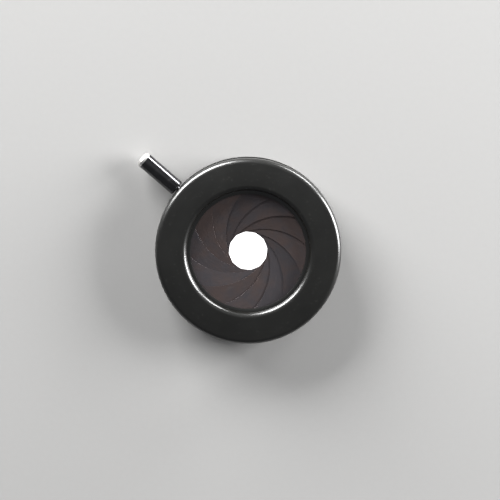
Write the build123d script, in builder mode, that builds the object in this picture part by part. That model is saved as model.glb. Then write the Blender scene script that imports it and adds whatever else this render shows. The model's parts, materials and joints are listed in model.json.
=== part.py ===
"""Iris diaphragm: twelve steel leaves between a cup-shaped housing and a lever-driven ring.

Frame: the optical axis is +Z, the closed front face of the housing looks along +Z, and z = 0
is the aperture plane, half way through the space for the leaves. All lengths are in
millimetres and all angles in degrees, counted anticlockwise seen from the front.
"""

import os
from math import asin, atan2, cos, degrees, hypot, radians, sin

from build123d import *

# ---- driving dimensions -------------------------------------------------------------------
# Housing
bore_diameter = 25.0           # in the front face and in the back cover
face_width = 6.5               # of the front face, from the bore to the outside
front_wall = 1.5               # closed front face, which carries the leaf pivots
side_wall = 1.2                # round the leaves, where the wall is thickest
edge_round = 1.0               # outer front edge
bore_round = 1.1               # front edge of the bore
lip_width = 0.7                # thin lip behind the bore, which hides the edges of the open leaves
lip_thickness = 0.3
front_fall = 0.25              # of the slightly conical front face, towards its outer edge
track_depth = 0.25             # shallow track round the side wall, in which the lever sweeps
track_margin = 0.1             # of the track beyond each side of the lever
back_lip = 0.35                # rim behind the snap ring
back_chamfer = 0.15
ring_ledge = 0.3               # step that the drive ring turns against
cover_ledge = 0.25             # step that the back cover seats against

# Leaves
leaf_count = 12
leaf_thickness = 0.05
leaf_overlap = 0.1             # inner edge of an open leaf, outside the bore
leaf_arc = 140.0               # from pivot stud to drive stud about the leaf's own centre
leaf_drop = 1.9                # fall of a leaf from its pivot stud to its drive stud
leaf_taper = 1.0               # width lost from the pivot end to the drive end
leaf_side_gap = 0.2            # open leaf to the chamber wall
leaf_play = 0.05               # above the highest and below the lowest leaf edge
ramp_steps = 15                # creases between the flats that make up a leaf's screw shape
set_aperture = 7.7             # aperture as the part is stored
least_aperture = 2.5

# Studs
stud_diameter = 0.8
pivot_stud_reach = 0.9         # into the front wall
pivot_clearance = 0.03
pivot_hole_extra = 0.1         # blind hole beyond the end of the stud
drive_stud_reach = 1.3         # into the drive ring
slot_clearance = 0.05

# Drive ring
ring_thickness = 1.96
ring_play = 0.02               # axial, on each face
ring_clearance = 0.05          # radial, in the housing
ring_bore_step = 0.1           # drive ring, outside the bore
slot_end_gap = 0.2             # between the outermost stud place and the slot's end
drive_ratio = 2.0              # degrees of drive ring for each degree of leaf

# Lever
lever_azimuth = 139.0          # as the part is stored
lever_diameter = 3.3
lever_reach = 9.9              # from the housing's side to the lever's free end
lever_gap = 0.25               # between the housing and the lever's shoulder
lever_tip_chamfer = 0.5
lever_shoulder_chamfer = 0.2
neck_diameter = 1.4
neck_grip = 1.2                # neck length held in the drive ring
neck_slot_clearance = 0.12     # round the neck in the housing's slot

# Back cover, curved spring washer and snap ring
washer_thickness = 0.1
washer_bow = 0.14              # height of the washer's bend about one axis
washer_width = 2.6
cover_thickness = 0.6
cover_clearance = 0.1
cover_chamfer = 0.2
snap_thickness = 0.45
snap_play = 0.05
groove_depth = 0.3
snap_width = 0.9
snap_clearance = 0.05          # in the bottom of the groove
snap_opening = 16.0            # angle between the ring's two ends
snap_azimuth = 319.0
snap_end_round = 0.3

# Cutting tools run this far past the faces they cut.
overrun = 1.0

# ---- radii --------------------------------------------------------------------------------
bore_radius = bore_diameter / 2
outer_radius = bore_radius + face_width
chamber_radius = outer_radius - side_wall
ring_seat_radius = chamber_radius + ring_ledge
cover_seat_radius = ring_seat_radius + cover_ledge
groove_radius = cover_seat_radius + groove_depth
stud_radius = stud_diameter / 2

leaf_inner_radius = bore_radius + leaf_overlap
leaf_width = chamber_radius - leaf_side_gap - leaf_inner_radius
pivot_end_radius = leaf_width / 2
drive_end_radius = (leaf_width - leaf_taper) / 2
pivot_radius = leaf_inner_radius + pivot_end_radius
drive_end_centre = leaf_inner_radius + drive_end_radius
drive_stud_radius = pivot_radius

# ---- leaf motion --------------------------------------------------------------------------


def leaf_swing(aperture):
    """Angle that a leaf turns about its pivot, from fully open to this aperture."""
    return 2 * degrees(asin((leaf_inner_radius - aperture / 2) / (2 * pivot_radius)))


def drive_stud_place(swing):
    """Radius and azimuth of a drive stud about the optical axis, from its leaf's pivot."""
    chord = 2 * pivot_radius * sin(radians(leaf_arc / 2))
    direction = radians(90 + leaf_arc / 2 + swing)
    x = pivot_radius + chord * cos(direction)
    y = chord * sin(direction)
    return hypot(x, y), degrees(atan2(y, x)) % 360


stored_swing = leaf_swing(set_aperture)
closed_swing = leaf_swing(least_aperture)
open_travel = drive_ratio * stored_swing
close_travel = drive_ratio * (closed_swing - stored_swing)

# The stud runs to and fro in a straight slot; these are its extremes over the whole travel.
swing_steps = 60
swings = [closed_swing * step / swing_steps for step in range(swing_steps + 1)]
stud_places = [drive_stud_place(swing) for swing in swings]
stud_drifts = [place[1] - drive_ratio * swing for swing, place in zip(swings, stud_places)]
outermost_stud = max(place[0] for place in stud_places)
slot_drift = (max(stud_drifts) - min(stud_drifts)) / 2
slot_width = 2 * (outermost_stud * radians(slot_drift) + stud_radius + slot_clearance)
slot_end_radius = outermost_stud + stud_radius + slot_end_gap

# The stored leaves lie so that the first pivot is this far round from the lever.
pivot_from_lever = 226.45
pivot_azimuth = lever_azimuth + pivot_from_lever
slot_azimuth = pivot_azimuth + drive_ratio * stored_swing + (max(stud_drifts) + min(stud_drifts)) / 2

# ---- levels along the optical axis --------------------------------------------------------
pivot_end_reach = degrees(asin(pivot_end_radius / pivot_radius))
drive_end_reach = degrees(asin(drive_end_radius / drive_end_centre))
ramp_slope = leaf_drop / leaf_arc
leaf_space = (
    leaf_drop + ramp_slope * (pivot_end_reach + drive_end_reach) + leaf_thickness + 2 * leaf_play
)
washer_space = washer_thickness + washer_bow

chamber_top = leaf_space / 2
front_level = chamber_top + front_wall
ledge_level = -leaf_space / 2
ring_top = ledge_level - ring_play
ring_level = ring_top - ring_thickness
lever_level = ring_top - ring_thickness / 2
washer_level = ring_level - ring_play - washer_space
cover_level = washer_level - cover_thickness
groove_level = cover_level - snap_thickness - snap_play
back_level = groove_level - back_lip
pivot_level = chamber_top - leaf_play - ramp_slope * pivot_end_reach - leaf_thickness / 2
drive_level = pivot_level - leaf_drop

os.makedirs("parts", exist_ok=True)


def save(piece, name):
    """Label a finished piece and write it as its own file."""
    piece.part.label = name
    export_step(piece.part, f"parts/{name}.step")


def leaf_locations():
    """One location for each leaf: at its pivot, turned as the stored leaf lies."""
    for index in range(leaf_count):
        azimuth = pivot_azimuth + index * 360 / leaf_count
        x = pivot_radius * cos(radians(azimuth))
        y = pivot_radius * sin(radians(azimuth))
        yield index + 1, Location((x, y, 0), (0, 0, azimuth + stored_swing))


# ---- housing ------------------------------------------------------------------------------
slot_radius = neck_diameter / 2 + neck_slot_clearance
track_radius = outer_radius - track_depth
track_top = lever_level + lever_diameter / 2 + track_margin
track_bottom = lever_level - lever_diameter / 2 - track_margin
with BuildPart() as housing:
    with BuildSketch(Plane.XZ) as wall_profile:
        with BuildLine():
            Polyline(
                (bore_radius, front_level),
                (outer_radius, front_level - front_fall),
                (outer_radius, track_top),
                (track_radius, track_top),
                (track_radius, track_bottom),
                (outer_radius, track_bottom),
                (outer_radius, back_level),
                (cover_seat_radius, back_level),
                (cover_seat_radius, groove_level),
                (groove_radius, groove_level),
                (groove_radius, cover_level),
                (cover_seat_radius, cover_level),
                (cover_seat_radius, washer_level),
                (ring_seat_radius, washer_level),
                (ring_seat_radius, ledge_level),
                (chamber_radius, ledge_level),
                (chamber_radius, chamber_top),
                (bore_radius - lip_width, chamber_top),
                (bore_radius - lip_width, chamber_top + lip_thickness),
                (bore_radius, chamber_top + lip_thickness),
                close=True,
            )
        make_face()
        outer_corner = wall_profile.vertices().sort_by_distance((outer_radius, front_level))[0]
        fillet(outer_corner, edge_round)
        bore_corner = wall_profile.vertices().sort_by_distance((bore_radius, front_level))[0]
        fillet(bore_corner, bore_round)
        back_corner = wall_profile.vertices().sort_by_distance((outer_radius, back_level))[0]
        chamfer(back_corner, back_chamfer)
    revolve(axis=Axis.Z)

    # Blind holes for the pivot studs, drilled from inside the front wall.
    with BuildSketch(Plane.XY.offset(chamber_top)):
        with PolarLocations(pivot_radius, leaf_count, start_angle=pivot_azimuth):
            Circle(stud_radius + pivot_clearance)
    extrude(amount=pivot_stud_reach + pivot_hole_extra, mode=Mode.SUBTRACT)

    # Round-ended slot in the side wall for the lever's neck.
    slot_start = lever_azimuth - open_travel
    slot_plane = Plane.XZ.rotated((0, 0, slot_start), ordering=Extrinsic.XYZ)
    with BuildSketch(slot_plane):
        with Locations((outer_radius, lever_level)):
            Rectangle(2 * (side_wall + overrun), 2 * slot_radius)
    revolve(axis=Axis.Z, revolution_arc=open_travel + close_travel, mode=Mode.SUBTRACT)
    for end_azimuth in (slot_start, lever_azimuth + close_travel):
        outward = Vector(cos(radians(end_azimuth)), sin(radians(end_azimuth)), 0)
        with BuildSketch(Plane(outward * pivot_radius + Vector(0, 0, lever_level), z_dir=outward)):
            Circle(slot_radius)
        extrude(amount=outer_radius + overrun - pivot_radius, mode=Mode.SUBTRACT)
save(housing, "housing")

# ---- drive ring ---------------------------------------------------------------------------
ring_outer_radius = ring_seat_radius - ring_clearance
ring_inner_radius = bore_radius + ring_bore_step
lever_direction = Vector(cos(radians(lever_azimuth)), sin(radians(lever_azimuth)), 0)
lever_axis_point = Vector(0, 0, lever_level)
neck_foot_radius = ring_outer_radius - neck_grip
with BuildPart() as drive_ring:
    with BuildSketch(Plane.XY.offset(ring_level)):
        Circle(ring_outer_radius)
        Circle(ring_inner_radius, mode=Mode.SUBTRACT)
        # Radial slots, open to the bore, in which the drive studs slide.
        slot_length = slot_end_radius - ring_inner_radius + overrun
        with PolarLocations(slot_end_radius - slot_length / 2, leaf_count, start_angle=slot_azimuth):
            Rectangle(slot_length, slot_width, mode=Mode.SUBTRACT)
    extrude(amount=ring_thickness)
    # Tapped hole for the lever's neck.
    with BuildSketch(Plane(lever_axis_point + lever_direction * neck_foot_radius, z_dir=lever_direction)):
        Circle(neck_diameter / 2)
    extrude(amount=neck_grip + overrun, mode=Mode.SUBTRACT)
save(drive_ring, "drive_ring")

# ---- lever --------------------------------------------------------------------------------
shoulder_radius = outer_radius + lever_gap
with BuildPart() as lever:
    with BuildSketch(Plane(lever_axis_point + lever_direction * neck_foot_radius, z_dir=lever_direction)):
        Circle(neck_diameter / 2)
    extrude(amount=shoulder_radius - neck_foot_radius)
    with BuildSketch(Plane(lever_axis_point + lever_direction * shoulder_radius, z_dir=lever_direction)):
        Circle(lever_diameter / 2)
    extrude(amount=outer_radius + lever_reach - shoulder_radius)
    handle_rims = lever.edges().filter_by(GeomType.CIRCLE).filter_by(
        lambda rim: rim.radius > neck_diameter
    ).sort_by(lambda rim: (rim.arc_center - lever_axis_point).length)
    chamfer(handle_rims[0], lever_shoulder_chamfer)
    tip_rim = lever.edges().filter_by(GeomType.CIRCLE).sort_by(
        lambda rim: (rim.arc_center - lever_axis_point).length
    )[-1]
    chamfer(tip_rim, lever_tip_chamfer)
save(lever, "lever")

# ---- back cover ---------------------------------------------------------------------------
with BuildPart() as back_cover:
    with BuildSketch(Plane.XY.offset(cover_level)):
        Circle(cover_seat_radius - cover_clearance)
        Circle(bore_radius, mode=Mode.SUBTRACT)
    extrude(amount=cover_thickness)
    chamfer(back_cover.faces().sort_by(Axis.Z)[0].edges(), cover_chamfer)
save(back_cover, "back_cover")

# ---- spring washer ------------------------------------------------------------------------
washer_outer_radius = ring_outer_radius - ring_clearance
with BuildPart() as spring_washer:
    with BuildSketch(Plane.XZ):
        with BuildLine():
            low_side = ThreePointArc(
                (-washer_outer_radius, washer_level),
                (0, washer_level + washer_bow),
                (washer_outer_radius, washer_level),
            )
            high_side = ThreePointArc(
                (-washer_outer_radius, washer_level + washer_thickness),
                (0, washer_level + washer_space),
                (washer_outer_radius, washer_level + washer_thickness),
            )
            Line(low_side @ 0, high_side @ 0)
            Line(low_side @ 1, high_side @ 1)
        make_face()
    extrude(amount=washer_outer_radius, both=True)
    with BuildSketch(Plane.XY.offset(washer_level)):
        Circle(washer_outer_radius)
        Circle(washer_outer_radius - washer_width, mode=Mode.SUBTRACT)
    extrude(amount=washer_space, mode=Mode.INTERSECT)
save(spring_washer, "spring_washer")

# ---- snap ring ----------------------------------------------------------------------------
snap_outer_radius = groove_radius - snap_clearance
with BuildPart() as snap_ring:
    snap_start = Plane.XZ.rotated((0, 0, snap_azimuth + snap_opening / 2), ordering=Extrinsic.XYZ)
    with BuildSketch(snap_start):
        with Locations((snap_outer_radius - snap_width / 2, groove_level + snap_thickness / 2)):
            Rectangle(snap_width, snap_thickness)
    revolve(axis=Axis.Z, revolution_arc=360 - snap_opening)
    end_edges = snap_ring.edges().filter_by(Axis.Z)
    fillet(end_edges, snap_end_round)
save(snap_ring, "snap_ring")

# ---- leaf ---------------------------------------------------------------------------------
# A leaf is drawn with its pivot at the origin and its arc centre on -X. It is a strip of a
# shallow left-hand screw about that centre, trimmed to a crescent, so that each leaf lies
# over its clockwise neighbour at any aperture.
ramp_start = leaf_arc + 2 * drive_end_reach
ramp_end = -2 * pivot_end_reach
ramp_foot = pivot_level - leaf_thickness / 2 - ramp_slope * ramp_start
arc_axis = Axis((-pivot_radius, 0, 0), (0, 0, 1))
crescent_plane = Plane(arc_axis.position)

# The outer edge is an arc that touches both round ends; its centre is off the arc centre.
tip_reach = leaf_inner_radius + leaf_width - drive_end_radius
outer_edge_offset = (tip_reach**2 - drive_end_centre**2) / (
    2 * (tip_reach - drive_end_centre * cos(radians(leaf_arc)))
)
outer_edge_radius = leaf_inner_radius + leaf_width - outer_edge_offset
drive_spot = Vector(drive_end_centre, 0).rotate(Axis.Z, leaf_arc)
outer_edge_turn = (drive_spot - Vector(outer_edge_offset, 0)).get_signed_angle(Vector(1, 0), Vector(0, 0, -1))



def crease_ends(step):
    """Inner and outer end of one of the radial creases between the flats of a leaf's underside."""
    turn = ramp_start + (ramp_end - ramp_start) * step / ramp_steps
    level = ramp_foot + ramp_slope * (ramp_start - turn)
    for radius in (leaf_inner_radius - overrun, chamber_radius + overrun):
        yield Vector(radius, 0, level).rotate(Axis.Z, turn) + arc_axis.position


with BuildPart() as leaf_blank:
    for step in range(ramp_steps):
        inner_end, outer_end = crease_ends(step)
        next_inner_end, next_outer_end = crease_ends(step + 1)
        for corners in (
            (inner_end, outer_end, next_outer_end),
            (inner_end, next_outer_end, next_inner_end),
        ):
            extrude(Face(Wire.make_polygon(corners)), amount=leaf_thickness, dir=(0, 0, 1))
    with BuildSketch(crescent_plane) as crescent:
        with BuildLine():
            CenterArc((outer_edge_offset, 0), outer_edge_radius, 0, outer_edge_turn)
            CenterArc(drive_spot, drive_end_radius, outer_edge_turn, 180 + leaf_arc - outer_edge_turn)
            CenterArc((0, 0), leaf_inner_radius, 0, leaf_arc)
            CenterArc((pivot_radius, 0), pivot_end_radius, 180, 180)
        make_face()
        with Locations((pivot_radius, 0), Vector(drive_stud_radius, 0).rotate(Axis.Z, leaf_arc)):
            Circle(stud_radius, mode=Mode.SUBTRACT)
    extrude(amount=leaf_space / 2, both=True, mode=Mode.INTERSECT)

with BuildPart() as pivot_stud_blank:
    with BuildSketch(Plane.XY.offset(pivot_level - leaf_thickness)):
        Circle(stud_radius)
    extrude(amount=chamber_top + pivot_stud_reach - pivot_level + leaf_thickness)

with BuildPart() as drive_stud_blank:
    with BuildSketch(crescent_plane.offset(ring_top - drive_stud_reach)):
        with Locations(Vector(drive_stud_radius, 0).rotate(Axis.Z, leaf_arc)):
            Circle(stud_radius)
    extrude(amount=drive_level + leaf_thickness - ring_top + drive_stud_reach)

leaf_pieces = {"leaf": leaf_blank, "pivot_stud": pivot_stud_blank, "drive_stud": drive_stud_blank}
for number, place in leaf_locations():
    for name, blank in leaf_pieces.items():
        with BuildPart() as piece:
            with Locations(place):
                add(blank.part)
        save(piece, f"{name}_{number:02d}")
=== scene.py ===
"""Detailed pieces, finishes and studio for a twelve-leaf iris diaphragm.

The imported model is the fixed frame: the optical axis is +Z, the closed front face looks along
+Z, and the aperture plane is z = 0. Sizes in the classes are in millimetres and degrees, and
``mm`` turns a length into Blender's metres.
"""

import json
import logging
from dataclasses import dataclass
from enum import Enum
from math import asin, cos, degrees, radians, sin, tau
from typing import Any, Callable, Sequence

import bmesh
import bpy
from mathutils import Matrix, Vector


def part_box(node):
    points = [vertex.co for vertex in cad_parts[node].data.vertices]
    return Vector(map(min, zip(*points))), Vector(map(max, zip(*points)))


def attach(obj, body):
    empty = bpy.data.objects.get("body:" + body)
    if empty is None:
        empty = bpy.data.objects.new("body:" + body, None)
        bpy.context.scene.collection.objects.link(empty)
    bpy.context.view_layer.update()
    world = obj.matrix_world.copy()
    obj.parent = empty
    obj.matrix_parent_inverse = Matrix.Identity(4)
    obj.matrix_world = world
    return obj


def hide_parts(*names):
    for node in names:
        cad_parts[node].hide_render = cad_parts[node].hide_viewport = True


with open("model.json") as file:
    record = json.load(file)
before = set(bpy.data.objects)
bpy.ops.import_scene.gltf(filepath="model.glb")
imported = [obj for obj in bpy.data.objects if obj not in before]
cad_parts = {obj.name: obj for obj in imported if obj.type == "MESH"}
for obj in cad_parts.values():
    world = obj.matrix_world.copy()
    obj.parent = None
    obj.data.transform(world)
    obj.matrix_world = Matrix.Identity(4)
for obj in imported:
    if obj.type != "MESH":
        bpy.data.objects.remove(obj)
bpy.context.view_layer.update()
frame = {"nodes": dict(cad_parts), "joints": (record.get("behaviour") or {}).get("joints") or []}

log = logging.getLogger("iris")

SMOOTH_BELOW = 32.0  # degrees: edges flatter than this are shaded smooth
SHARP_ABOVE = 60.0  # degrees: edges sharper than this are bevelled
MERGE_WITHIN = 0.0005  # mm: vertices closer than this are one


def mm(length: float) -> float:
    """Length in metres for a length in millimetres."""
    return length * 0.001


def polar(radius: float, azimuth: float, level: float = 0.0) -> Vector:
    """Point in millimetres at this radius, azimuth and level about the optical axis."""
    return Vector((radius * cos(radians(azimuth)), radius * sin(radians(azimuth)), level))


def section(*corners: tuple[float, float]) -> list[Vector]:
    """Points of a turned section, from radius and level in millimetres."""
    return [Vector((radius, 0, level)) for radius, level in corners]


def shift(way: Vector) -> Matrix:
    """Placement that moves a piece by a vector in millimetres."""
    return Matrix.Translation(way * mm(1.0))


def outward(radius: float, azimuth: float, level: float) -> Matrix:
    """Placement that lays +Z away from the optical axis, from this point in millimetres."""
    turn = polar(1.0, azimuth).to_track_quat("Z", "Y").to_matrix().to_4x4()
    return shift(polar(radius, azimuth, level)) @ turn


# ---- shader expressions ---------------------------------------------------------------------


class Signal:
    """A shader socket that Python's operators combine through Math nodes."""

    def __init__(self, recipe: "Recipe", socket: Any) -> None:
        """Wrap one output socket of a recipe.

        Args:
            recipe: The material that the socket belongs to.
            socket: The output socket.
        """
        self.recipe = recipe
        self.socket = socket

    def math(self, operation: str, *others: Any) -> "Signal":
        """Combine this signal with others in one Math node.

        Args:
            operation: The Math node's operation.
            *others: Further operands, as signals or numbers.

        Returns:
            The node's result.
        """
        return self.recipe.calculate(operation, self, *others)

    def __add__(self, other: Any) -> "Signal":
        """Sum with a signal or number."""
        return self.math("ADD", other)

    def __radd__(self, other: Any) -> "Signal":
        """Sum with a number on the left."""
        return self.math("ADD", other)

    def __sub__(self, other: Any) -> "Signal":
        """Difference from a signal or number."""
        return self.math("SUBTRACT", other)

    def __rsub__(self, other: Any) -> "Signal":
        """Number on the left less this signal."""
        return self.recipe.calculate("SUBTRACT", other, self)

    def __mul__(self, other: Any) -> "Signal":
        """Product with a signal or number."""
        return self.math("MULTIPLY", other)

    def __rmul__(self, other: Any) -> "Signal":
        """Product with a number on the left."""
        return self.math("MULTIPLY", other)

    def __pow__(self, other: Any) -> "Signal":
        """Power of a signal or number."""
        return self.math("POWER", other)

    def ramp(self, low: float, high: float) -> "Signal":
        """Smooth step from 0 at low to 1 at high."""
        return self.recipe.node(
            "ShaderNodeMapRange",
            {"interpolation_type": "SMOOTHSTEP"},
            {"Value": self, "From Min": low, "From Max": high},
        )


class Recipe:
    """One material while its nodes are put together."""

    def __init__(self, name: str) -> None:
        """Start an empty material.

        Args:
            name: The material's name.
        """
        self.material = bpy.data.materials.new(name)
        self.material.use_nodes = True
        self.tree = self.material.node_tree
        self.tree.nodes.clear()

    def node(
        self, kind: str, settings: dict[str, Any], inputs: dict[Any, Any], output: Any = 0
    ) -> Signal:
        """Add one node.

        Args:
            kind: The node's type.
            settings: Its properties, set before its inputs.
            inputs: Values or signals by socket name or number.
            output: Name or number of the output wanted.

        Returns:
            The wanted output.
        """
        made = self.tree.nodes.new(kind)
        for key, value in settings.items():
            setattr(made, key, value)
        for key, value in inputs.items():
            if isinstance(value, Signal):
                self.tree.links.new(value.socket, made.inputs[key])
            else:
                made.inputs[key].default_value = value
        return Signal(self, made.outputs[output])

    def calculate(self, operation: str, *operands: Any) -> Signal:
        """Result of one Math node on signals or numbers."""
        return self.node("ShaderNodeMath", {"operation": operation}, dict(enumerate(operands)))

    def place(self) -> Signal:
        """Object coordinates of the shaded point, in metres."""
        return self.node("ShaderNodeTexCoord", {}, {}, "Object")

    def split(self, vector: Signal) -> tuple[Signal, Signal, Signal]:
        """Take a vector apart.

        Args:
            vector: The vector.

        Returns:
            Its three parts.
        """
        parts = self.node("ShaderNodeSeparateXYZ", {}, {"Vector": vector})
        outputs = parts.socket.node.outputs
        return Signal(self, outputs[0]), Signal(self, outputs[1]), Signal(self, outputs[2])

    def join(self, x: Any, y: Any, z: Any) -> Signal:
        """Vector from three signals or numbers."""
        return self.node("ShaderNodeCombineXYZ", {}, {"X": x, "Y": y, "Z": z})

    def noise(self, vector: Signal, scale: float, detail: float = 2.0) -> Signal:
        """Noise from 0 to 1 that varies over the vector."""
        return self.node(
            "ShaderNodeTexNoise",
            {"noise_dimensions": "3D"},
            {"Vector": vector, "Scale": scale, "Detail": detail},
        )

    def blend(self, amount: Signal, low: Any, high: Any) -> Signal:
        """Mix two colours.

        Args:
            amount: Share of the high colour, from 0 to 1.
            low: Colour or signal at 0.
            high: Colour or signal at 1.

        Returns:
            The mixed colour.
        """
        mixer = self.tree.nodes.new("ShaderNodeMix")
        mixer.data_type = "RGBA"
        named = {socket.identifier: socket for socket in mixer.inputs}
        for key, value in (("Factor_Float", amount), ("A_Color", low), ("B_Color", high)):
            if isinstance(value, Signal):
                self.tree.links.new(value.socket, named[key])
            else:
                named[key].default_value = (*value, 1.0)
        result = {socket.identifier: socket for socket in mixer.outputs}["Result_Color"]
        return Signal(self, result)

    def relief(self, height: Signal, depth: float, strength: float = 1.0) -> Signal:
        """Normal of a surface with this relief.

        Args:
            height: Relief from 0 to 1.
            depth: Height in millimetres of a relief of 1.
            strength: Share of the relief that shows.

        Returns:
            The normal.
        """
        return self.node(
            "ShaderNodeBump",
            {},
            {"Height": height, "Distance": mm(depth), "Strength": strength},
        )

    def finish(self, **inputs: Any) -> bpy.types.Material:
        """Close the material with one Principled shader.

        Args:
            **inputs: The shader's sockets, with underscores for spaces.

        Returns:
            The finished material.
        """
        named = {key.replace("_", " "): value for key, value in inputs.items()}
        shader = self.node("ShaderNodeBsdfPrincipled", {}, named)
        end = self.tree.nodes.new("ShaderNodeOutputMaterial")
        self.tree.links.new(shader.socket, end.inputs["Surface"])
        return self.material


# ---- finishes -------------------------------------------------------------------------------

Colour = tuple[float, float, float]


def toned(colour: Colour, share: float) -> Colour:
    """The colour, made lighter or darker by this share."""
    return tuple(share * part for part in colour)


@dataclass(frozen=True)
class TurnedBlack:
    """Black finish on a turned ring: fine tool rings, cloudy sheen and a little dust."""

    name: str
    colour: Colour
    dust_colour: Colour
    roughness: float
    ring_scale: float = 9000.0  # tool rings per metre of radius
    ring_depth: float = 0.0002  # mm
    grain_scale: float = 2600.0
    cloud_scale: float = 160.0
    cloud_band: tuple[float, float] = (0.35, 0.7)
    cloud_tone: float = 1.5
    dust: float = 0.03
    dust_band: tuple[float, float] = (0.77, 0.79)
    ior: float = 1.75

    def make(self) -> bpy.types.Material:
        """Build the material."""
        r = Recipe(self.name)
        place = r.place()
        x, y, z = r.split(place)
        radius = (x * x + y * y) ** 0.5
        rings = r.noise(r.join(radius, z, 0.0), self.ring_scale, 3.0)
        grain = r.noise(place, self.grain_scale, 4.0)
        cloud = r.noise(place, self.cloud_scale, 3.0)
        speck = r.noise(place, self.grain_scale, 0.0).ramp(*self.dust_band) * self.dust
        lighter = toned(self.colour, self.cloud_tone)
        shade = r.blend(cloud.ramp(*self.cloud_band) * 0.5, self.colour, lighter)
        colour = r.blend(speck, shade, self.dust_colour)
        roughness = self.roughness + (rings - 0.5) * 0.05 + (cloud - 0.5) * 0.1 + speck * 0.3
        return r.finish(
            Base_Color=colour,
            Roughness=roughness,
            Normal=r.relief(rings * 0.6 + grain * 0.4, self.ring_depth),
            IOR=self.ior,
        )


@dataclass(frozen=True)
class LeafSteel:
    """Blued spring steel, brushed along the leaf, with its own heat tint."""

    name: str
    # the tone includes painted light: leaves on one side of the housing get a darker tone
    tone: float
    warmth: float
    brush_turn: float  # place in the brush pattern, other for each leaf
    centre: Vector  # of the leaf's arc
    warm: Colour = (0.117, 0.088, 0.083)
    cool: Colour = (0.1, 0.092, 0.1)
    line: Colour = (0.118, 0.1, 0.098)
    line_tone: float = 1.5
    tint_scale: float = 380.0
    brush_scale: tuple[float, float] = (9000.0, 14.0)  # across the leaf and along it
    scratch_scale: tuple[float, float] = (2400.0, 5.0)
    roughness: float = 0.4
    relief_depth: float = 0.0016  # mm

    def make(self) -> bpy.types.Material:
        """Build the material."""
        r = Recipe(self.name)
        x, y, _ = r.split(r.place())
        across = x - mm(self.centre.x)
        along = y - mm(self.centre.y)
        radius = (across * across + along * along) ** 0.5
        turn = r.calculate("ARCTAN2", along, across)
        wide, long = self.brush_scale
        brush = r.noise(r.join(radius * wide, turn * long, self.brush_turn), 1.0, 4.0)
        wide, long = self.scratch_scale
        scratch = r.noise(r.join(radius * wide, turn * long, self.brush_turn + 9.0), 1.0, 1.0)
        spread = r.join(x * self.tint_scale, y * self.tint_scale, self.brush_turn)
        cloud = r.noise(spread, 1.0, 3.0)
        warm, cool = toned(self.warm, self.tone), toned(self.cool, self.tone)
        tint = r.blend((cloud * 1.4 + self.warmth - 0.7).ramp(0.1, 0.9), cool, warm)
        line = toned(self.line, self.line_tone * self.tone)
        colour = r.blend(scratch.ramp(0.62, 0.8) * 0.25, tint, line)
        return r.finish(
            Base_Color=colour,
            Metallic=0.75,
            Roughness=self.roughness + (brush - 0.5) * 0.22 + (cloud - 0.5) * 0.12,
            Normal=r.relief(brush, self.relief_depth, 0.8),
        )


@dataclass(frozen=True)
class LeverSteel:
    """Polished black lever, with a painted highlight: its tip end is painted bright."""

    name: str
    azimuth: float
    axis_level: float
    # painted highlight: from this reach out to the tip, the lever is painted in the bright
    # colour
    highlight_from: float  # mm from the optical axis
    black: Colour = (0.09, 0.09, 0.094)
    bright: Colour = (0.78, 0.77, 0.75)
    highlight_blur: float = 0.05  # mm, each way
    ring_scale: tuple[float, float] = (7000.0, 900.0)  # along the lever and across it
    smudge_scale: float = 700.0
    relief_depth: float = 0.0005  # mm

    def make(self) -> bpy.types.Material:
        """Build the material."""
        r = Recipe(self.name)
        place = r.place()
        x, y, z = r.split(place)
        ahead = polar(1.0, self.azimuth)
        reach = x * ahead.x + y * ahead.y
        aside = y * ahead.x - x * ahead.y
        height = z - mm(self.axis_level)
        radius = (aside * aside + height * height) ** 0.5
        long, wide = self.ring_scale
        rings = r.noise(r.join(reach * long, radius * wide, 0.0), 1.0, 3.0)
        smudge = r.noise(place, self.smudge_scale, 3.0)
        low, high = self.highlight_from - self.highlight_blur, self.highlight_from + self.highlight_blur
        # painted highlight: the tip end is painted bright and made a little rougher
        painted_tip_highlight = reach.ramp(mm(low), mm(high))
        worn = smudge.ramp(0.62, 0.8) * 0.12
        colour = r.blend(painted_tip_highlight + worn, self.black, self.bright)
        return r.finish(
            Base_Color=colour,
            Metallic=1.0,
            Roughness=0.2 + (smudge - 0.5) * 0.12 + (rings - 0.5) * 0.06 + painted_tip_highlight * 0.18,
            Normal=r.relief(rings, self.relief_depth, 0.7),
        )


@dataclass(frozen=True)
class PlainSteel:
    """Bright or blackened steel with a fine, even grain."""

    name: str
    colour: Colour
    roughness: float
    grain_scale: float = 2600.0
    stain_scale: float = 420.0
    stain_tone: float = 0.6

    def make(self) -> bpy.types.Material:
        """Build the material."""
        r = Recipe(self.name)
        place = r.place()
        grain = r.noise(place, self.grain_scale, 3.0)
        stain = r.noise(place, self.stain_scale, 2.0)
        stained = toned(self.colour, self.stain_tone)
        colour = r.blend(stain.ramp(0.4, 0.75), self.colour, stained)
        return r.finish(
            Base_Color=colour,
            Metallic=1.0,
            Roughness=self.roughness + (stain - 0.5) * 0.2,
            Normal=r.relief(grain, 0.0012, 0.8),
        )


@dataclass(frozen=True)
class PaleTop:
    """Matt pale surface that the part lies on."""

    name: str
    colour: Colour = (0.275, 0.273, 0.269)

    def make(self) -> bpy.types.Material:
        """Build the material."""
        r = Recipe(self.name)
        place = r.place()
        grain = r.noise(place, 900.0, 4.0)
        return r.finish(
            Base_Color=r.blend(grain, toned(self.colour, 0.96), self.colour),
            Roughness=0.85,
            Normal=r.relief(grain, 0.01, 0.4),
        )


@dataclass(frozen=True)
class LitOpal:
    """White light from below, seen through the aperture."""

    name: str
    strength: float

    def make(self) -> bpy.types.Material:
        """Build the material."""
        white = (1.0, 1.0, 1.0, 1.0)
        return Recipe(self.name).finish(
            Base_Color=white, Emission_Color=white, Emission_Strength=self.strength
        )


# ---- modelling ------------------------------------------------------------------------------


class Direction(Enum):
    """Sense of a turn seen from the front."""

    ANTICLOCKWISE = -1.0
    CLOCKWISE = 1.0


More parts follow.
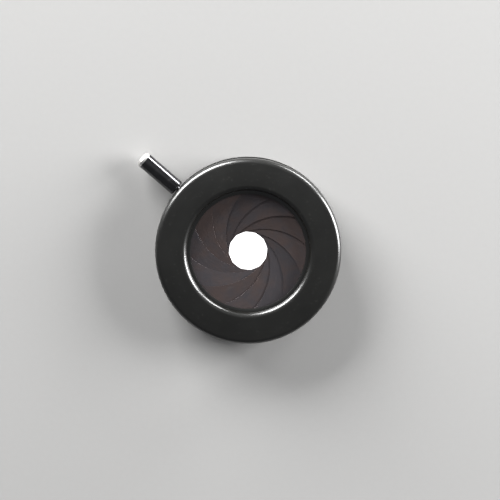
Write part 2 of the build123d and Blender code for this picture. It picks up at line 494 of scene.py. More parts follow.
class Bench:
    """Modelling steps on one object, made with edit-mode operators."""

    def __init__(self, name: str, start: Vector) -> None:
        """Begin with a small plane that is merged to one vertex at the start point.

        Args:
            name: Name of the piece.
            start: First point in millimetres.
        """
        self.to_object_mode()
        bpy.ops.object.select_all(action="DESELECT")
        bpy.ops.mesh.primitive_plane_add(size=mm(1.0), location=start * mm(1.0))
        self.piece = bpy.context.object
        self.piece.name = name
        self.piece.data.name = name
        bpy.ops.object.transform_apply(location=True, rotation=True, scale=True)
        bpy.ops.object.mode_set(mode="EDIT")
        self.take_all("VERT")
        bpy.ops.mesh.merge(type="CENTER")
        self.here = start.copy()

    @classmethod
    def outline(cls, name: str, corners: Sequence[Vector]) -> "Bench":
        """New piece that is one flat face with these corners in millimetres."""
        return cls(name, corners[0]).line_to(*corners[1:], corners[0]).fill()

    @classmethod
    def disc(cls, name: str, radius: float, level: float, steps: int) -> "Bench":
        """New piece that is one round face about the optical axis."""
        start, centre = section((radius, level), (0, level))
        return cls(name, start).arc(centre, 360.0, Direction.ANTICLOCKWISE, steps).fill()

    @staticmethod
    def to_object_mode() -> None:
        """Leave edit mode if it is on."""
        if bpy.context.object and bpy.context.object.mode != "OBJECT":
            bpy.ops.object.mode_set(mode="OBJECT")

    @staticmethod
    def take_all(kind: str) -> None:
        """Select all vertices, edges or faces."""
        bpy.ops.mesh.select_mode(type=kind)
        bpy.ops.mesh.select_all(action="SELECT")

    def pick(self) -> None:
        """Leave edit mode and make this piece the only selected one."""
        self.to_object_mode()
        bpy.ops.object.select_all(action="DESELECT")
        self.piece.select_set(True)
        bpy.context.view_layer.objects.active = self.piece

    def line_to(self, *corners: Vector) -> "Bench":
        """Extrude the chain's last vertex through more points.

        Args:
            *corners: The points in millimetres.

        Returns:
            The bench.
        """
        for corner in corners:
            bpy.ops.mesh.extrude_vertices_move(
                TRANSFORM_OT_translate={"value": (corner - self.here) * mm(1.0)}
            )
            self.here = corner.copy()
        return self

    def arc(self, centre: Vector, angle: float, way: Direction, steps: int) -> "Bench":
        """Extrude the chain's last vertex round a centre.

        Args:
            centre: Centre of the arc in millimetres.
            angle: Angle of the arc.
            way: Sense of the turn.
            steps: Number of edges.

        Returns:
            The bench.
        """
        bpy.ops.mesh.spin(
            steps=steps,
            angle=radians(angle) * way.value,
            center=centre * mm(1.0),
            axis=(0, 0, 1),
            use_auto_merge=False,
        )
        return self

    def select(self, kind: str, test: Callable[[Any], bool]) -> "Bench":
        """Select only the verts, edges or faces that pass a test.

        Args:
            kind: "verts", "edges" or "faces".
            test: Test on one element.

        Returns:
            The bench.
        """
        bpy.ops.mesh.select_mode(type=kind[:-1].upper())
        bpy.ops.mesh.select_all(action="DESELECT")
        shape = bmesh.from_edit_mesh(self.piece.data)
        for element in getattr(shape, kind):
            if test(element):
                element.select_set(True)
        shape.select_flush_mode()
        bmesh.update_edit_mesh(self.piece.data)
        return self

    def fill(self) -> "Bench":
        """Close the chain and fill it with one face.

        Returns:
            The bench.
        """
        bpy.ops.mesh.select_all(action="SELECT")
        bpy.ops.mesh.remove_doubles(threshold=mm(MERGE_WITHIN))
        bpy.ops.mesh.edge_face_add()
        return self

    def round_corners(self, rounds: Sequence[tuple[Vector, float, int]]) -> "Bench":
        """Round corners of the flat outline.

        Args:
            rounds: Corner, radius and number of edges for each round.

        Returns:
            The bench.
        """
        near = 10 * MERGE_WITHIN
        for corner, radius, segments in rounds:
            self.select("verts", lambda v, c=corner: (v.co / mm(1.0) - c).length < near)
            bpy.ops.mesh.bevel(offset=mm(radius), segments=segments, affect="VERTICES")
        return self

    def turn_outline(self, steps: int) -> "Bench":
        """Spin the outline into a ring about the optical axis.

        Args:
            steps: Number of edges round the ring.

        Returns:
            The bench.
        """
        self.take_all("FACE")
        bpy.ops.mesh.delete(type="ONLY_FACE")
        self.take_all("EDGE")
        bpy.ops.mesh.spin(
            steps=steps, angle=tau, center=(0, 0, 0), axis=(0, 0, 1), use_auto_merge=True
        )
        return self.close()

    def sweep_face(self, angle: float, way: Direction, steps: int) -> "Bench":
        """Spin the filled outline part of the way round, which leaves both end faces.

        Args:
            angle: Angle of the sweep.
            way: Sense of the turn.
            steps: Number of edges along the sweep.

        Returns:
            The bench.
        """
        self.take_all("FACE")
        bpy.ops.mesh.spin(
            steps=steps,
            angle=radians(angle) * way.value,
            center=(0, 0, 0),
            axis=(0, 0, 1),
            use_auto_merge=False,
        )
        return self.close()

    def raise_by(self, height: float) -> "Bench":
        """Extrude everything upwards.

        Args:
            height: Height in millimetres.

        Returns:
            The bench.
        """
        self.take_all("FACE")
        bpy.ops.mesh.extrude_region_move(TRANSFORM_OT_translate={"value": (0, 0, mm(height))})
        return self.close()

    def close(self) -> "Bench":
        """Merge doubled vertices and point the faces outwards.

        Returns:
            The bench.
        """
        self.take_all("VERT")
        bpy.ops.mesh.remove_doubles(threshold=mm(MERGE_WITHIN))
        bpy.ops.mesh.normals_make_consistent(inside=False)
        return self

    def modify(self, kind: str, **settings: Any) -> "Bench":
        """Add a modifier and apply it.

        Args:
            kind: The modifier's type.
            **settings: Its properties.

        Returns:
            The bench.
        """
        self.pick()
        bpy.ops.object.modifier_add(type=kind)
        added = self.piece.modifiers[-1]
        for key, value in settings.items():
            setattr(added, key, value)
        bpy.ops.object.modifier_apply(modifier=added.name)
        return self

    def screw(self, turn: float, rise: float, steps: int) -> "Bench":
        """Screw the section about +Z.

        Args:
            turn: Whole turn in radians.
            rise: Whole rise in millimetres.
            steps: Number of edges along the screw.

        Returns:
            The bench.
        """
        return self.modify(
            "SCREW", axis="Z", angle=turn, screw_offset=mm(rise), steps=steps, render_steps=steps
        )

    def soften(self, width: float, segments: int) -> "Bench":
        """Bevel the sharp edges.

        Args:
            width: Width of the bevel in millimetres.
            segments: Number of edges over the bevel.

        Returns:
            The bench.
        """
        limit = {"limit_method": "ANGLE", "angle_limit": radians(SHARP_ABOVE)}
        return self.modify("BEVEL", width=mm(width), segments=segments, **limit)

    def cut(self, tool: "Bench", operation: str = "DIFFERENCE") -> "Bench":
        """Cut this piece with another, which is used up.

        Args:
            tool: The bench with the cutting shape.
            operation: The Boolean operation.

        Returns:
            The bench.
        """
        tool.to_object_mode()
        self.modify("BOOLEAN", operation=operation, solver="EXACT", object=tool.piece)
        bpy.data.objects.remove(tool.piece)
        return self

    def stand(self, place: Matrix) -> "Bench":
        """Move the piece and apply its place to the mesh.

        Args:
            place: The placement.

        Returns:
            The bench.
        """
        self.pick()
        self.piece.matrix_world = place
        bpy.ops.object.transform_apply(location=True, rotation=True, scale=True)
        return self

    def edit(self) -> "Bench":
        """Go into edit mode on this piece with nothing selected.

        Returns:
            The bench.
        """
        self.pick()
        bpy.ops.object.mode_set(mode="EDIT")
        bpy.ops.mesh.select_all(action="DESELECT")
        return self

    def copy(self, name: str) -> "Bench":
        """Copy the piece with its mesh.

        Args:
            name: Name of the copy.

        Returns:
            A bench with the copy.
        """
        self.pick()
        bpy.ops.object.duplicate(linked=False)
        made = Bench.__new__(Bench)
        made.piece = bpy.context.object
        made.piece.name = name
        made.piece.data.name = name
        return made

    def deliver(self, body: str, slot: str, material: bpy.types.Material, *nodes: str) -> None:
        """Dress the finished piece, fix it to its body and hide the nodes that it stands for.

        Args:
            body: CAD body that the piece rides on.
            slot: The record's material slot; not used.
            material: Finish of the piece.
            *nodes: CAD nodes that it replaces.
        """
        self.pick()
        bpy.ops.object.shade_smooth_by_angle(angle=radians(SMOOTH_BELOW))
        self.piece.data.materials.clear()
        self.piece.data.materials.append(material)
        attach(self.piece, body)
        if nodes:
            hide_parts(*nodes)
        log.info("%s: %d faces on %s", self.piece.name, len(self.piece.data.polygons), body)


def dress_node(node: str, material: bpy.types.Material) -> None:
    """Give a CAD node that stays in view its finish.

    Args:
        node: The CAD node.
        material: Its finish.
    """
    piece = frame["nodes"][node]
    piece.data.materials.clear()
    piece.data.materials.append(material)
    log.info("%s: CAD node with finish %s", node, material.name)


# ---- the diaphragm's shared sizes -----------------------------------------------------------


@dataclass(frozen=True)
class IrisSizes:
    """Sizes that more than one sub-assembly needs."""

    bore_radius: float = 12.5
    outer_radius: float = 19.0
    side_wall: float = 1.2
    front_wall: float = 1.5
    front_fall: float = 0.25
    leaf_count: int = 12
    leaf_arc: float = 140.0
    leaf_drop: float = 1.9
    leaf_thickness: float = 0.05
    leaf_play: float = 0.05
    leaf_overlap: float = 0.1
    leaf_side_gap: float = 0.2
    leaf_taper: float = 1.0
    ring_play: float = 0.02
    ring_thickness: float = 1.96
    ring_ledge: float = 0.3
    cover_ledge: float = 0.25
    cover_thickness: float = 0.6
    washer_space: float = 0.24
    snap_thickness: float = 0.45
    snap_play: float = 0.05
    groove_depth: float = 0.3
    lever_azimuth: float = 139.0
    lever_diameter: float = 3.3
    neck_diameter: float = 1.4
    stud_diameter: float = 0.8

    @property
    def chamber_radius(self) -> float:
        """Inside of the wall round the leaves."""
        return self.outer_radius - self.side_wall

    @property
    def ring_seat_radius(self) -> float:
        """Inside of the wall round the drive ring."""
        return self.chamber_radius + self.ring_ledge

    @property
    def cover_seat_radius(self) -> float:
        """Inside of the wall round the back cover."""
        return self.ring_seat_radius + self.cover_ledge

    @property
    def leaf_inner_radius(self) -> float:
        """Inner edge of a leaf about its own arc centre."""
        return self.bore_radius + self.leaf_overlap

    @property
    def leaf_width(self) -> float:
        """Width of a leaf at its pivot end."""
        return self.chamber_radius - self.leaf_side_gap - self.leaf_inner_radius

    @property
    def pivot_radius(self) -> float:
        """Pivots about the optical axis, and both studs about the leaf's arc centre."""
        return self.leaf_inner_radius + self.leaf_width / 2

    @property
    def drive_end_radius(self) -> float:
        """Round end of the leaf at its drive stud."""
        return (self.leaf_width - self.leaf_taper) / 2

    @property
    def drive_end_centre(self) -> float:
        """Centre of that round end from the leaf's arc centre."""
        return self.leaf_inner_radius + self.drive_end_radius

    @property
    def pivot_end_reach(self) -> float:
        """Angle from the pivot stud to the leaf's end."""
        return degrees(asin(self.leaf_width / 2 / self.pivot_radius))

    @property
    def drive_end_reach(self) -> float:
        """Angle from the drive stud to the leaf's end."""
        return degrees(asin(self.drive_end_radius / self.drive_end_centre))

    @property
    def ramp_slope(self) -> float:
        """Fall of a leaf for each degree of its arc."""
        return self.leaf_drop / self.leaf_arc

    @property
    def chamber_top(self) -> float:
        """Inside of the front wall."""
        ends = self.ramp_slope * (self.pivot_end_reach + self.drive_end_reach)
        return (self.leaf_drop + ends + self.leaf_thickness + 2 * self.leaf_play) / 2

    @property
    def front_level(self) -> float:
        """Front face where it would meet the bore."""
        return self.chamber_top + self.front_wall

    @property
    def ring_level(self) -> float:
        """Back of the drive ring."""
        return -self.chamber_top - self.ring_play - self.ring_thickness

    @property
    def lever_level(self) -> float:
        """Axis of the lever."""
        return self.ring_level + self.ring_thickness / 2

    @property
    def washer_level(self) -> float:
        """Back of the spring washer, where the cover seats."""
        return self.ring_level - self.ring_play - self.washer_space

    @property
    def cover_level(self) -> float:
        """Back of the cover."""
        return self.washer_level - self.cover_thickness

    @property
    def groove_level(self) -> float:
        """Back of the snap ring and its groove."""
        return self.cover_level - self.snap_thickness - self.snap_play

    @property
    def pivot_level(self) -> float:
        """Middle of the leaf's thickness at its pivot stud."""
        return (
            self.chamber_top
            - self.leaf_play
            - self.ramp_slope * self.pivot_end_reach
            - self.leaf_thickness / 2
        )

    @property
    def drive_level(self) -> float:
        """Middle of the leaf's thickness at its drive stud."""
        return self.pivot_level - self.leaf_drop


def upright_box(
    inner: float, outer: float, low: float, high: float, azimuth: float
) -> list[Vector]:
    """Corners of a rectangle in the half-plane through the optical axis at this azimuth."""
    spots = ((inner, low), (outer, low), (outer, high), (inner, high))
    return [polar(radius, azimuth, level) for radius, level in spots]


# ---- housing --------------------------------------------------------------------------------


@dataclass
class Housing:
    """Turned cup that carries the leaf pivots, with the lever's slot in its side."""

    sizes: IrisSizes
    back_level: float
    open_travel: float
    close_travel: float
    pivots: Sequence[Vector]
    edge_round: float = 1.0
    bore_round: float = 1.1
    lip_width: float = 0.7
    lip_thickness: float = 0.3
    back_chamfer: float = 0.15
    crisp_edge: float = 0.05
    track_depth: float = 0.25
    track_margin: float = 0.1
    slot_clearance: float = 0.12
    pivot_hole_radius: float = 0.43
    pivot_hole_depth: float = 1.0
    overrun: float = 1.0
    crisp_corners: Sequence[int] = (2, 5, 7, 15, 17, 18)  # of wall_outline
    round_steps: int = 12
    chamfer_steps: int = 2
    slot_steps: int = 96
    slot_end_steps: int = 48
    hole_steps: int = 32
    turn_steps: int = 256

    def wall_outline(self) -> list[Vector]:
        """Section of the cup.

        Returns:
            Its corners, from the bore's front edge round the outside.
        """
        s = self.sizes
        track_half = s.lever_diameter / 2 + self.track_margin
        track_top, track_bottom = s.lever_level + track_half, s.lever_level - track_half
        track_radius = s.outer_radius - self.track_depth
        groove_radius = s.cover_seat_radius + s.groove_depth
        lip_radius = s.bore_radius - self.lip_width
        lip_level = s.chamber_top + self.lip_thickness
        return section(
            (s.bore_radius, s.front_level),
            (s.outer_radius, s.front_level - s.front_fall),
            (s.outer_radius, track_top),
            (track_radius, track_top),
            (track_radius, track_bottom),
            (s.outer_radius, track_bottom),
            (s.outer_radius, self.back_level),
            (s.cover_seat_radius, self.back_level),
            (s.cover_seat_radius, s.groove_level),
            (groove_radius, s.groove_level),
            (groove_radius, s.cover_level),
            (s.cover_seat_radius, s.cover_level),
            (s.cover_seat_radius, s.washer_level),
            (s.ring_seat_radius, s.washer_level),
            (s.ring_seat_radius, -s.chamber_top),
            (s.chamber_radius, -s.chamber_top),
            (s.chamber_radius, s.chamber_top),
            (lip_radius, s.chamber_top),
            (lip_radius, lip_level),
            (s.bore_radius, lip_level),
        )

    def lever_slot(self) -> list[Bench]:
        """Make the cutting shapes of the round-ended slot.

        Returns:
            The slot's swept length and its two ends.
        """
        s = self.sizes
        half = s.neck_diameter / 2 + self.slot_clearance
        start = s.lever_azimuth - self.open_travel
        inner, outer = s.chamber_radius - self.overrun, s.outer_radius + self.overrun
        low, high = s.lever_level - half, s.lever_level + half
        bar = Bench.outline("slot_bar", upright_box(inner, outer, low, high, start))
        travel = self.open_travel + self.close_travel
        bar.sweep_face(travel, Direction.ANTICLOCKWISE, self.slot_steps)
        tools = [bar]
        for azimuth in (start, s.lever_azimuth + self.close_travel):
            end = Bench.disc("slot_end", half, 0.0, self.slot_end_steps)
            end.raise_by(outer - inner).stand(outward(inner, azimuth, s.lever_level))
            tools.append(end)
        return tools

    def build(self) -> Bench:
        """Turn the cup, cut its slot and drill its pivot holes.

        Returns:
            The finished cup.
        """
        corners = self.wall_outline()
        rounds = [
            (corners[0], self.bore_round, self.round_steps),
            (corners[1], self.edge_round, self.round_steps),
            (corners[6], self.back_chamfer, self.chamfer_steps),
        ]
        for index in self.crisp_corners:
            rounds.append((corners[index], self.crisp_edge, self.chamfer_steps))
        bench = Bench.outline("housing_body", corners)
        bench.round_corners(rounds).turn_outline(self.turn_steps)
        for tool in self.lever_slot():
            bench.cut(tool)
        top = self.sizes.chamber_top
        drill = Bench.disc("pivot_drill", self.pivot_hole_radius, top, self.hole_steps)
        drill.raise_by(self.pivot_hole_depth + self.overrun)
        for pivot in self.pivots:
            below = shift(Vector((pivot.x, pivot.y, -self.overrun)))
            bench.cut(drill.copy("pivot_hole").stand(below))
        bpy.data.objects.remove(drill.piece)
        return bench

    def dress(self, bench: Bench) -> None:
        """Give the cup its satin black."""
        finish = TurnedBlack("housing_black", (0.0013, 0.0013, 0.0008), (0.25, 0.25, 0.23), 0.3)
        bench.deliver("housing", "housing_black", finish.make(), "housing")


# ---- leaves ---------------------------------------------------------------------------------


@dataclass
class LeafSet:
    """Twelve curved leaves, each with a pivot stud and a drive stud."""

    sizes: IrisSizes
    pivots: Sequence[Vector]
    pivot_azimuth: float
    stored_swing: float
    overrun: float = 1.0
    arc_steps: int = 180
    end_steps: int = 28
    blade_thickness: float = 0.034  # room for closed leaves to pass each other
    edge_bevel: float = 0.006
    pivot_stud_reach: float = 0.9
    drive_stud_reach: float = 1.3
    stud_round: float = 0.1
    stud_steps: int = 32
    tone: float = 0.74
    # painted light: the next two sizes darken the leaves on one side of the housing and lighten
    # those opposite; the swing also carries random tone
    tone_and_painted_light_swing: float = 0.06
    painted_light_azimuth: float = 25.0
    warmth: float = 0.5
    warmth_swing: float = 0.1
    warmth_scatter: float = 0.2

    def screw_strip(self) -> Bench:
        """Make a strip of a shallow left-hand screw about the leaf's arc centre.

        Returns:
            The strip, as thick as a blade.
        """
        s = self.sizes
        start = -2 * s.pivot_end_reach
        sweep = s.leaf_arc + 2 * s.drive_end_reach - start
        foot = s.pivot_level - self.blade_thickness / 2 - s.ramp_slope * start
        strip = Bench("leaf_strip", polar(s.leaf_inner_radius - self.overrun, start, foot))
        strip.line_to(polar(s.chamber_radius + self.overrun, start, foot))
        strip.screw(radians(sweep), -s.ramp_slope * sweep, self.arc_steps)
        return strip.edit().raise_by(self.blade_thickness)

    def crescent(self) -> Bench:
        """Make a block with the leaf's crescent outline.

        Returns:
            The block, as tall as the leaf space.
        """
        s = self.sizes
        tip = s.leaf_inner_radius + s.leaf_width - s.drive_end_radius
        spread = tip - s.drive_end_centre * cos(radians(s.leaf_arc))
        offset = (tip**2 - s.drive_end_centre**2) / (2 * spread)
        spot = polar(s.drive_end_centre, s.leaf_arc)
        outer_turn = degrees((spot - Vector((offset, 0, 0))).angle(Vector((1, 0, 0))))
        floor = Vector((0, 0, -s.chamber_top))
        block = Bench("leaf_block", Vector((s.leaf_inner_radius + s.leaf_width, 0, 0)) + floor)
        onward, back = Direction.ANTICLOCKWISE, Direction.CLOCKWISE
        block.arc(Vector((offset, 0, 0)) + floor, outer_turn, onward, self.arc_steps)
        block.arc(spot + floor, 180 + s.leaf_arc - outer_turn, onward, self.end_steps)
        block.arc(floor, s.leaf_arc, back, self.arc_steps)
        block.arc(Vector((s.pivot_radius, 0, 0)) + floor, 180.0, onward, self.end_steps)
        return block.fill().raise_by(2 * s.chamber_top)

    def build_leaf(self) -> Bench:
        """Make one leaf.

        Returns:
            The leaf, with its pivot at the origin.
        """
        leaf = self.screw_strip().cut(self.crescent(), "INTERSECT").soften(self.edge_bevel, 1)
        return leaf.stand(Matrix.Translation((-mm(self.sizes.pivot_radius), 0, 0)))

    def build_stud(self, name: str, low: float, high: float, round_top: bool) -> Bench:
        """Turn one stud on the optical axis.

        Args:
            name: Name of the stud.
            low: Level of its lower end.
            high: Level of its upper end.
            round_top: Whether its upper end is the free, rounded one.

        Returns:
            The stud.
        """
        radius = self.sizes.stud_diameter / 2
        corners = section((0, low), (radius, low), (radius, high), (0, high))
        free = corners[2] if round_top else corners[1]
        stud = Bench.outline(name, corners).round_corners([(free, self.stud_round, 4)])
        return stud.turn_outline(self.stud_steps)

    def build(self) -> None:
        """Make one leaf and its studs, then copy them round the housing."""
        s = self.sizes
        leaf = self.build_leaf()
        foot, top = s.pivot_level - s.leaf_thickness, s.chamber_top + self.pivot_stud_reach
        pivot_stud = self.build_stud("pivot_stud", foot, top, True)
        foot = -s.chamber_top - s.ring_play - self.drive_stud_reach
        top = s.drive_level + s.leaf_thickness
        drive_stud = self.build_stud("drive_stud", foot, top, False)
        drive_spot = polar(s.pivot_radius, s.leaf_arc) - Vector((s.pivot_radius, 0, 0))
        drive_stud.stand(shift(drive_spot))
        steel = PlainSteel("stud_steel", (0.42, 0.42, 0.43), 0.28).make()
        for index, pivot in enumerate(self.pivots):
            number = f"{index + 1:02d}"
            azimuth = self.pivot_azimuth + index * 360 / s.leaf_count
            turn = Matrix.Rotation(radians(azimuth + self.stored_swing), 4, "Z")
            place = shift(Vector((pivot.x, pivot.y, 0))) @ turn
            centre = place @ Vector((-mm(s.pivot_radius), 0, 0)) / mm(1.0)
            body = f"leaf_{number}"
            self.dress(leaf.copy(f"blade_{number}").stand(place), index, centre, body)
            for kind, stud in (("pivot", pivot_stud), ("drive", drive_stud)):
                pin = stud.copy(f"{kind}_pin_{number}").stand(place)
                pin.deliver(body, "stud_steel", steel, f"{kind}_stud_{number}")
        for pattern in (leaf, pivot_stud, drive_stud):
            bpy.data.objects.remove(pattern.piece)

    def dress(self, blade: Bench, index: int, centre: Vector, body: str) -> None:
        """Give one leaf its own tone of blued steel, with painted light that darkens the leaves
        on one side of the housing and lightens those opposite.

        Args:
            blade: The leaf.
            index: Its number, from 0.
            centre: Its arc centre in millimetres.
            body: The CAD body that it rides on, named like the node that it replaces.
        """
        round_housing = 30.0 * index
        # painted light: leaves on one side of the housing are painted darker and those opposite
        # lighter, as if lit from one side; the sine of the index adds random tone
        lit = cos(radians(round_housing + self.painted_light_azimuth))
        tone = self.tone - self.tone_and_painted_light_swing * lit + self.tone_and_painted_light_swing * sin(2.4 * index)
        warmth = self.warmth + self.warmth_swing * sin(radians(round_housing))
        warmth += self.warmth_scatter * cos(1.7 * index)
        finish = LeafSteel(f"leaf_steel_{index + 1:02d}", tone, warmth, 3.1 * index, centre)
        blade.deliver(body, "leaf_steel", finish.make(), body)


# ---- drive ring and lever -------------------------------------------------------------------


@dataclass
class Drive:
    """Drive ring with its screwed-in lever."""

    sizes: IrisSizes
    lever_reach: float = 9.9
    lever_gap: float = 0.25
    neck_grip: float = 1.2
    ring_clearance: float = 0.05
    tip_chamfer: float = 0.5
    shoulder_chamfer: float = 0.2
    soft_edge: float = 0.06
    thread_pitch: float = 0.3
    thread_depth: float = 0.09
    thread_profile: tuple[float, float, float] = (0.4, 0.5, 0.9)  # crest and end, of the pitch
    thread_steps: int = 20  # for each turn
    turn_steps: int = 96

    @property
    def neck_foot(self) -> float:
        """Inner end of the neck, from the optical axis."""
        return self.sizes.ring_seat_radius - self.ring_clearance - self.neck_grip

    def on_lever(self) -> Matrix:
        """Placement that lays a piece turned about Z along the lever's axis."""
        return outward(0.0, self.sizes.lever_azimuth, self.sizes.lever_level)

    def build_lever(self) -> Bench:
        """Turn the lever: thin neck, shouldered handle and chamfered tip.

        Returns:
            The lever.
        """
        s = self.sizes
        shoulder, tip = s.outer_radius + self.lever_gap, s.outer_radius + self.lever_reach
        core, handle = s.neck_diameter / 2 - self.thread_depth, s.lever_diameter / 2
        corners = section(
            (0, self.neck_foot),
            (core, self.neck_foot),
            (core, shoulder),
            (handle - self.shoulder_chamfer, shoulder),
            (handle, shoulder + self.shoulder_chamfer),
            (handle, tip - self.tip_chamfer),
            (handle - self.tip_chamfer, tip),
            (0, tip),
        )
        lever = Bench.outline("lever_handle", corners)
        lever.round_corners([(corner, self.soft_edge, 3) for corner in corners[3:7]])
        return lever.turn_outline(self.turn_steps).stand(self.on_lever())

    def build_thread(self) -> Bench:
        """Make the screw thread on the lever's neck.

        Returns:
            The thread.
        """
        s = self.sizes
        foot, crest = self.neck_foot, s.neck_diameter / 2
        length = s.outer_radius + self.lever_gap - foot - self.thread_pitch
        root = crest - self.thread_depth - self.soft_edge
        rise, fall, end = (foot + share * self.thread_pitch for share in self.thread_profile)
        corners = section((root, foot), (crest, rise), (crest, fall), (root, end))
        turns = length / self.thread_pitch
        ridge = Bench.outline("lever_thread", corners)
        ridge.screw(tau * turns, length, int(self.thread_steps * turns))
        return ridge.edit().close().stand(self.on_lever())

    def build(self) -> None:
        """Make the lever and its thread, and dress them and the ring."""
        s = self.sizes
        # start of the lever's painted tip highlight
        highlight_from = s.outer_radius + self.lever_reach - 2 * self.tip_chamfer
        finish = LeverSteel("lever_steel", s.lever_azimuth, s.lever_level, highlight_from).make()
        self.build_lever().deliver("drive_ring", "lever_steel", finish, "lever")
        self.build_thread().deliver("drive_ring", "lever_steel", finish)
        ring = TurnedBlack("ring_black", (0.03, 0.029, 0.028), (0.2, 0.19, 0.17), 0.42)
        dress_node("drive_ring", ring.make())


# ---- back cover, spring washer and snap ring ------------------------------------------------


@dataclass
class BackClosure:
    """Cover ring, spring washer and snap ring that close the housing from behind."""

    sizes: IrisSizes
    cover_clearance: float = 0.1
    cover_chamfer: float = 0.2
    soft_edge: float = 0.04
    snap_width: float = 0.9
    snap_clearance: float = 0.05
    snap_opening: float = 16.0
    snap_azimuth: float = 319.0
    snap_end_round: float = 0.3
    snap_end_near: float = 0.02  # of an end's edge to its corner
    turn_steps: int = 200

    def build_cover(self) -> Bench:
        """Turn the flat cover ring, chamfered at the back.

        Returns:
            The cover.
        """
        s = self.sizes
        outer = s.cover_seat_radius - self.cover_clearance
        chamfer = self.cover_chamfer
        corners = section(
            (s.bore_radius + chamfer, s.cover_level),
            (outer - chamfer, s.cover_level),
            (outer, s.cover_level + chamfer),
            (outer, s.washer_level),
            (s.bore_radius, s.washer_level),
            (s.bore_radius, s.cover_level + chamfer),
        )
        cover = Bench.outline("cover_plate", corners)
        cover.round_corners([(corner, self.soft_edge, 2) for corner in corners])
        return cover.turn_outline(self.turn_steps)

    def build_snap_ring(self) -> Bench:
        """Make the open snap ring with rounded ends.

        Returns:
            The snap ring.
        """
        s = self.sizes
        outer = s.cover_seat_radius + s.groove_depth - self.snap_clearance
        inner = outer - self.snap_width
        start = self.snap_azimuth + self.snap_opening / 2
        sweep = 360 - self.snap_opening
        low, high = s.groove_level, s.groove_level + s.snap_thickness
        ring = Bench.outline("snap_wire", upright_box(inner, outer, low, high, start))
        ring.sweep_face(sweep, Direction.ANTICLOCKWISE, self.turn_steps)
        ends = [polar(r, a).xy * mm(1.0) for r in (inner, outer) for a in (start, start + sweep)]

        def end_edge(edge: Any) -> bool:
            """Tell an upright edge of the two ends from all others.

            Args:
                edge: An edge of the ring.

            Returns:
                Whether it is one.
            """
            foot, head = (v.co.xy for v in edge.verts)
            near = mm(self.snap_end_near)
            upright = (foot - head).length < mm(MERGE_WITHIN)
            return upright and any(((foot + head) / 2 - end).length < near for end in ends)

        ring.select("edges", end_edge)
        bpy.ops.mesh.bevel(offset=mm(self.snap_end_round), segments=6, affect="EDGES")
        return ring.soften(self.soft_edge, 2)

    def build(self) -> None:
        """Make the cover and the snap ring, and dress them and the spring washer."""
        cover = TurnedBlack("cover_black", (0.026, 0.026, 0.027), (0.25, 0.25, 0.24), 0.46)
        self.build_cover().deliver("housing", "cover_black", cover.make(), "back_cover")
        snap = PlainSteel("snap_steel", (0.12, 0.12, 0.125), 0.34)
        self.build_snap_ring().deliver("housing", "snap_steel", snap.make(), "snap_ring")
        dress_node("spring_washer", PlainSteel("spring_steel", (0.45, 0.43, 0.41), 0.3).make())


# ---- studio ---------------------------------------------------------------------------------


@dataclass(frozen=True)
class SoftBox:
    """One rectangular studio light that looks at the part."""

    name: str
    azimuth: float
    elevation: float
    distance: float
    width: float
    height: float
    power: float

    def place(self) -> None:
        """Add the light to the scene."""
        light = bpy.data.lights.new(self.name, "AREA")
        light.shape = "RECTANGLE"
        light.size = mm(self.width)
        light.size_y = mm(self.height)
        light.energy = self.power
        lamp = bpy.data.objects.new(self.name, light)
        bpy.context.scene.collection.objects.link(lamp)
        away = polar(cos(radians(self.elevation)), self.azimuth, sin(radians(self.elevation)))
        lamp.location = away * mm(self.distance)
        lamp.rotation_euler = away.to_track_quat("Z", "Y").to_euler()


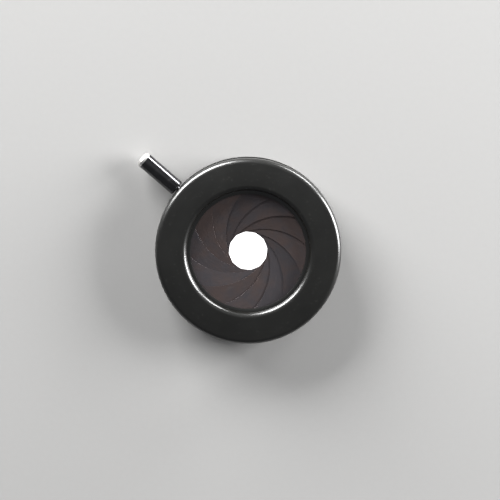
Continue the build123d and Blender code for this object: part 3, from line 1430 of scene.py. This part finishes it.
@dataclass
class Studio:
    """Floor, lit window under the bore, lights and camera."""

    sizes: IrisSizes
    floor_level: float
    view_tilt: float = 6.0
    view_azimuth: float = 95.0
    view_distance: float = 450.0
    view_width: float = 101.8
    sensor_width: float = 36.0
    frame_pixels: float = 500.0
    aim_level: float = 2.3
    aim_pixel: tuple[float, float] = (248.2, 251.9)
    floor_size: float = 3000.0
    window_radius: float = 12.3
    window_lift: float = 0.05
    window_steps: int = 96
    window_glow: float = 2.0
    room_colour: Colour = (0.93, 0.95, 1.0)
    room_strength: float = 0.14
    far_clip: float = 10000.0
    # azimuth, elevation, distance, width, height and power of each light
    lights: Sequence[SoftBox] = (
        SoftBox("upper_left_light", 125.0, 17.0, 600.0, 460.0, 280.0, 15.5),
        SoftBox("right_light", 14.0, 17.0, 600.0, 330.0, 280.0, 11.0),
        SoftBox("edge_light", 51.0, 8.0, 600.0, 200.0, 150.0, 3.6),
        SoftBox("top_light", 100.0, 62.0, 900.0, 900.0, 900.0, 0.5),
    )

    def build_floor(self) -> None:
        """Pale floor that the back rim stands on."""
        bpy.ops.object.select_all(action="DESELECT")
        bpy.ops.mesh.primitive_grid_add(
            x_subdivisions=4,
            y_subdivisions=4,
            size=mm(self.floor_size),
            location=(0, 0, mm(self.floor_level)),
        )
        floor = bpy.context.object
        floor.name = "floor"
        floor.data.materials.append(PaleTop("floor_paint").make())

    def build_window(self) -> None:
        """Lit opal disc on the floor inside the housing, seen through the aperture."""
        level = self.floor_level + self.window_lift
        disc = Bench.disc("light_window", self.window_radius, level, self.window_steps)
        disc.to_object_mode()
        disc.piece.data.materials.append(LitOpal("window_light", self.window_glow).make())

    def build_camera(self) -> None:
        """Camera over the part, tilted a little towards +Y."""
        tilt = radians(self.view_tilt)
        toward = polar(sin(tilt), self.view_azimuth, cos(tilt))
        up = (Vector((0, 1, 0)) - toward * toward.y).normalized()
        side = up.cross(toward)
        lens = bpy.data.cameras.new("view")
        lens.sensor_width = self.sensor_width
        lens.lens = self.sensor_width * self.view_distance / self.view_width
        middle = self.frame_pixels / 2
        lens.shift_x = (middle - self.aim_pixel[0]) / self.frame_pixels
        lens.shift_y = (self.aim_pixel[1] - middle) / self.frame_pixels
        lens.clip_end = mm(self.far_clip)
        camera = bpy.data.objects.new("view", lens)
        bpy.context.scene.collection.objects.link(camera)
        aim = Vector((0, 0, self.aim_level))
        turn = Matrix((side, up, toward)).transposed().to_4x4()
        camera.matrix_world = shift(aim + toward * self.view_distance) @ turn
        bpy.context.scene.camera = camera

    def build(self) -> None:
        """Set the whole studio."""
        self.build_floor()
        self.build_window()
        for light in self.lights:
            light.place()
        world = bpy.data.worlds.new("soft_room")
        world.use_nodes = True
        backdrop = world.node_tree.nodes["Background"]
        backdrop.inputs["Color"].default_value = (*self.room_colour, 1.0)
        backdrop.inputs["Strength"].default_value = self.room_strength
        bpy.context.scene.world = world
        bpy.context.scene.view_settings.view_transform = "Standard"
        self.build_camera()
        log.info("studio: %d lights", len(self.lights))


# ---- all together ---------------------------------------------------------------------------


def main() -> None:
    """Build every sub-assembly and the studio in order."""
    logging.basicConfig(level=logging.INFO, format="%(name)s %(message)s")
    sizes = IrisSizes()
    joints = {joint["name"]: joint for joint in frame["joints"]}
    pivots = [
        Vector(joints[f"leaf_{index + 1:02d}_swing"]["pos_m"]) / mm(1.0)
        for index in range(sizes.leaf_count)
    ]
    travel = joints["lever_turn"]["range_deg"]
    stored_swing = -joints["leaf_01_swing"]["range_deg"][0]
    pivot_azimuth = -degrees(Vector((1, 0)).angle_signed(pivots[0].xy))
    back_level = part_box("housing")[0].z / mm(1.0)

    housing = Housing(sizes, back_level, -travel[0], travel[1], pivots)
    housing.dress(housing.build())
    LeafSet(sizes, pivots, pivot_azimuth, stored_swing).build()
    Drive(sizes).build()
    BackClosure(sizes).build()
    Studio(sizes, back_level).build()


if __name__ == "__main__":
    main()
